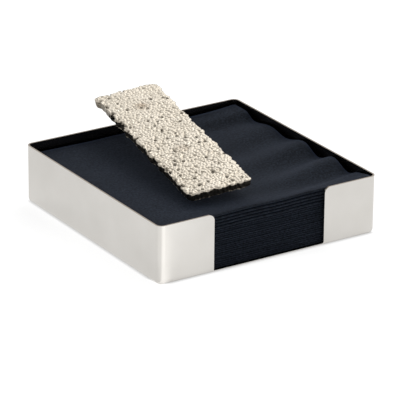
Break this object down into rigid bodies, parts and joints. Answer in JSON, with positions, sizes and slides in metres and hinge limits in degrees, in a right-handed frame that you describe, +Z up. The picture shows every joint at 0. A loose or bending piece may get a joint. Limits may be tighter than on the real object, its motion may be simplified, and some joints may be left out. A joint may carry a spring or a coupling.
{
  "type": "napkin dispenser",
  "caption": "Square open metal tray with a finger notch in front, holding a stack of folded napkins under a heavy flat bar that lifts on a hinged arm behind the back wall.",
  "frame": {"origin": "centre of the tray's underside, on the plane that it stands on", "axes": "+Z up, finger notch towards -Y, hinge behind the wall at +Y"},
  "size_m": [0.178, 0.19, 0.0676],
  "materials": {
    "tray_metal": "satin nickel plate",
    "bar_metal": "warm silver plate over a beaded face",
    "hinge_metal": "plated strip, satin",
    "fixing_metal": "plain turned steel",
    "napkin_paper": "soft dark blue-grey napkin stock, matt"
  },
  "bodies": {
    "tray_body": {"tray": "tray_metal", "hinge_bracket": "hinge_metal", "bracket_rivet_left": "fixing_metal", "bracket_rivet_right": "fixing_metal", "hinge_pin": "fixing_metal", "napkin_01": "napkin_paper", "napkin_02": "napkin_paper", "napkin_03": "napkin_paper", "napkin_04": "napkin_paper", "napkin_05": "napkin_paper", "napkin_06": "napkin_paper", "napkin_07": "napkin_paper", "napkin_08": "napkin_paper", "napkin_09": "napkin_paper", "napkin_10": "napkin_paper", "napkin_11": "napkin_paper", "napkin_12": "napkin_paper", "napkin_13": "napkin_paper", "napkin_14": "napkin_paper", "napkin_15": "napkin_paper", "napkin_16": "napkin_paper", "napkin_17": "napkin_paper", "napkin_18": "napkin_paper", "napkin_19": "napkin_paper", "napkin_20": "napkin_paper", "napkin_21": "napkin_paper", "napkin_22": "napkin_paper", "napkin_23": "napkin_paper", "napkin_24": "napkin_paper"},
    "tongue": {"tongue_arm": "hinge_metal", "weight_bar": "bar_metal", "bar_screw_rear": "fixing_metal", "bar_screw_front": "fixing_metal"}
  },
  "joints": [
    {"name": "tongue_hinge", "type": "hinge", "parent": "tray_body", "child": "tongue", "pos_m": [0, 0.095, 0.033], "axis": [-1, 0, 0], "range_deg": [0, 105]}
  ]
}
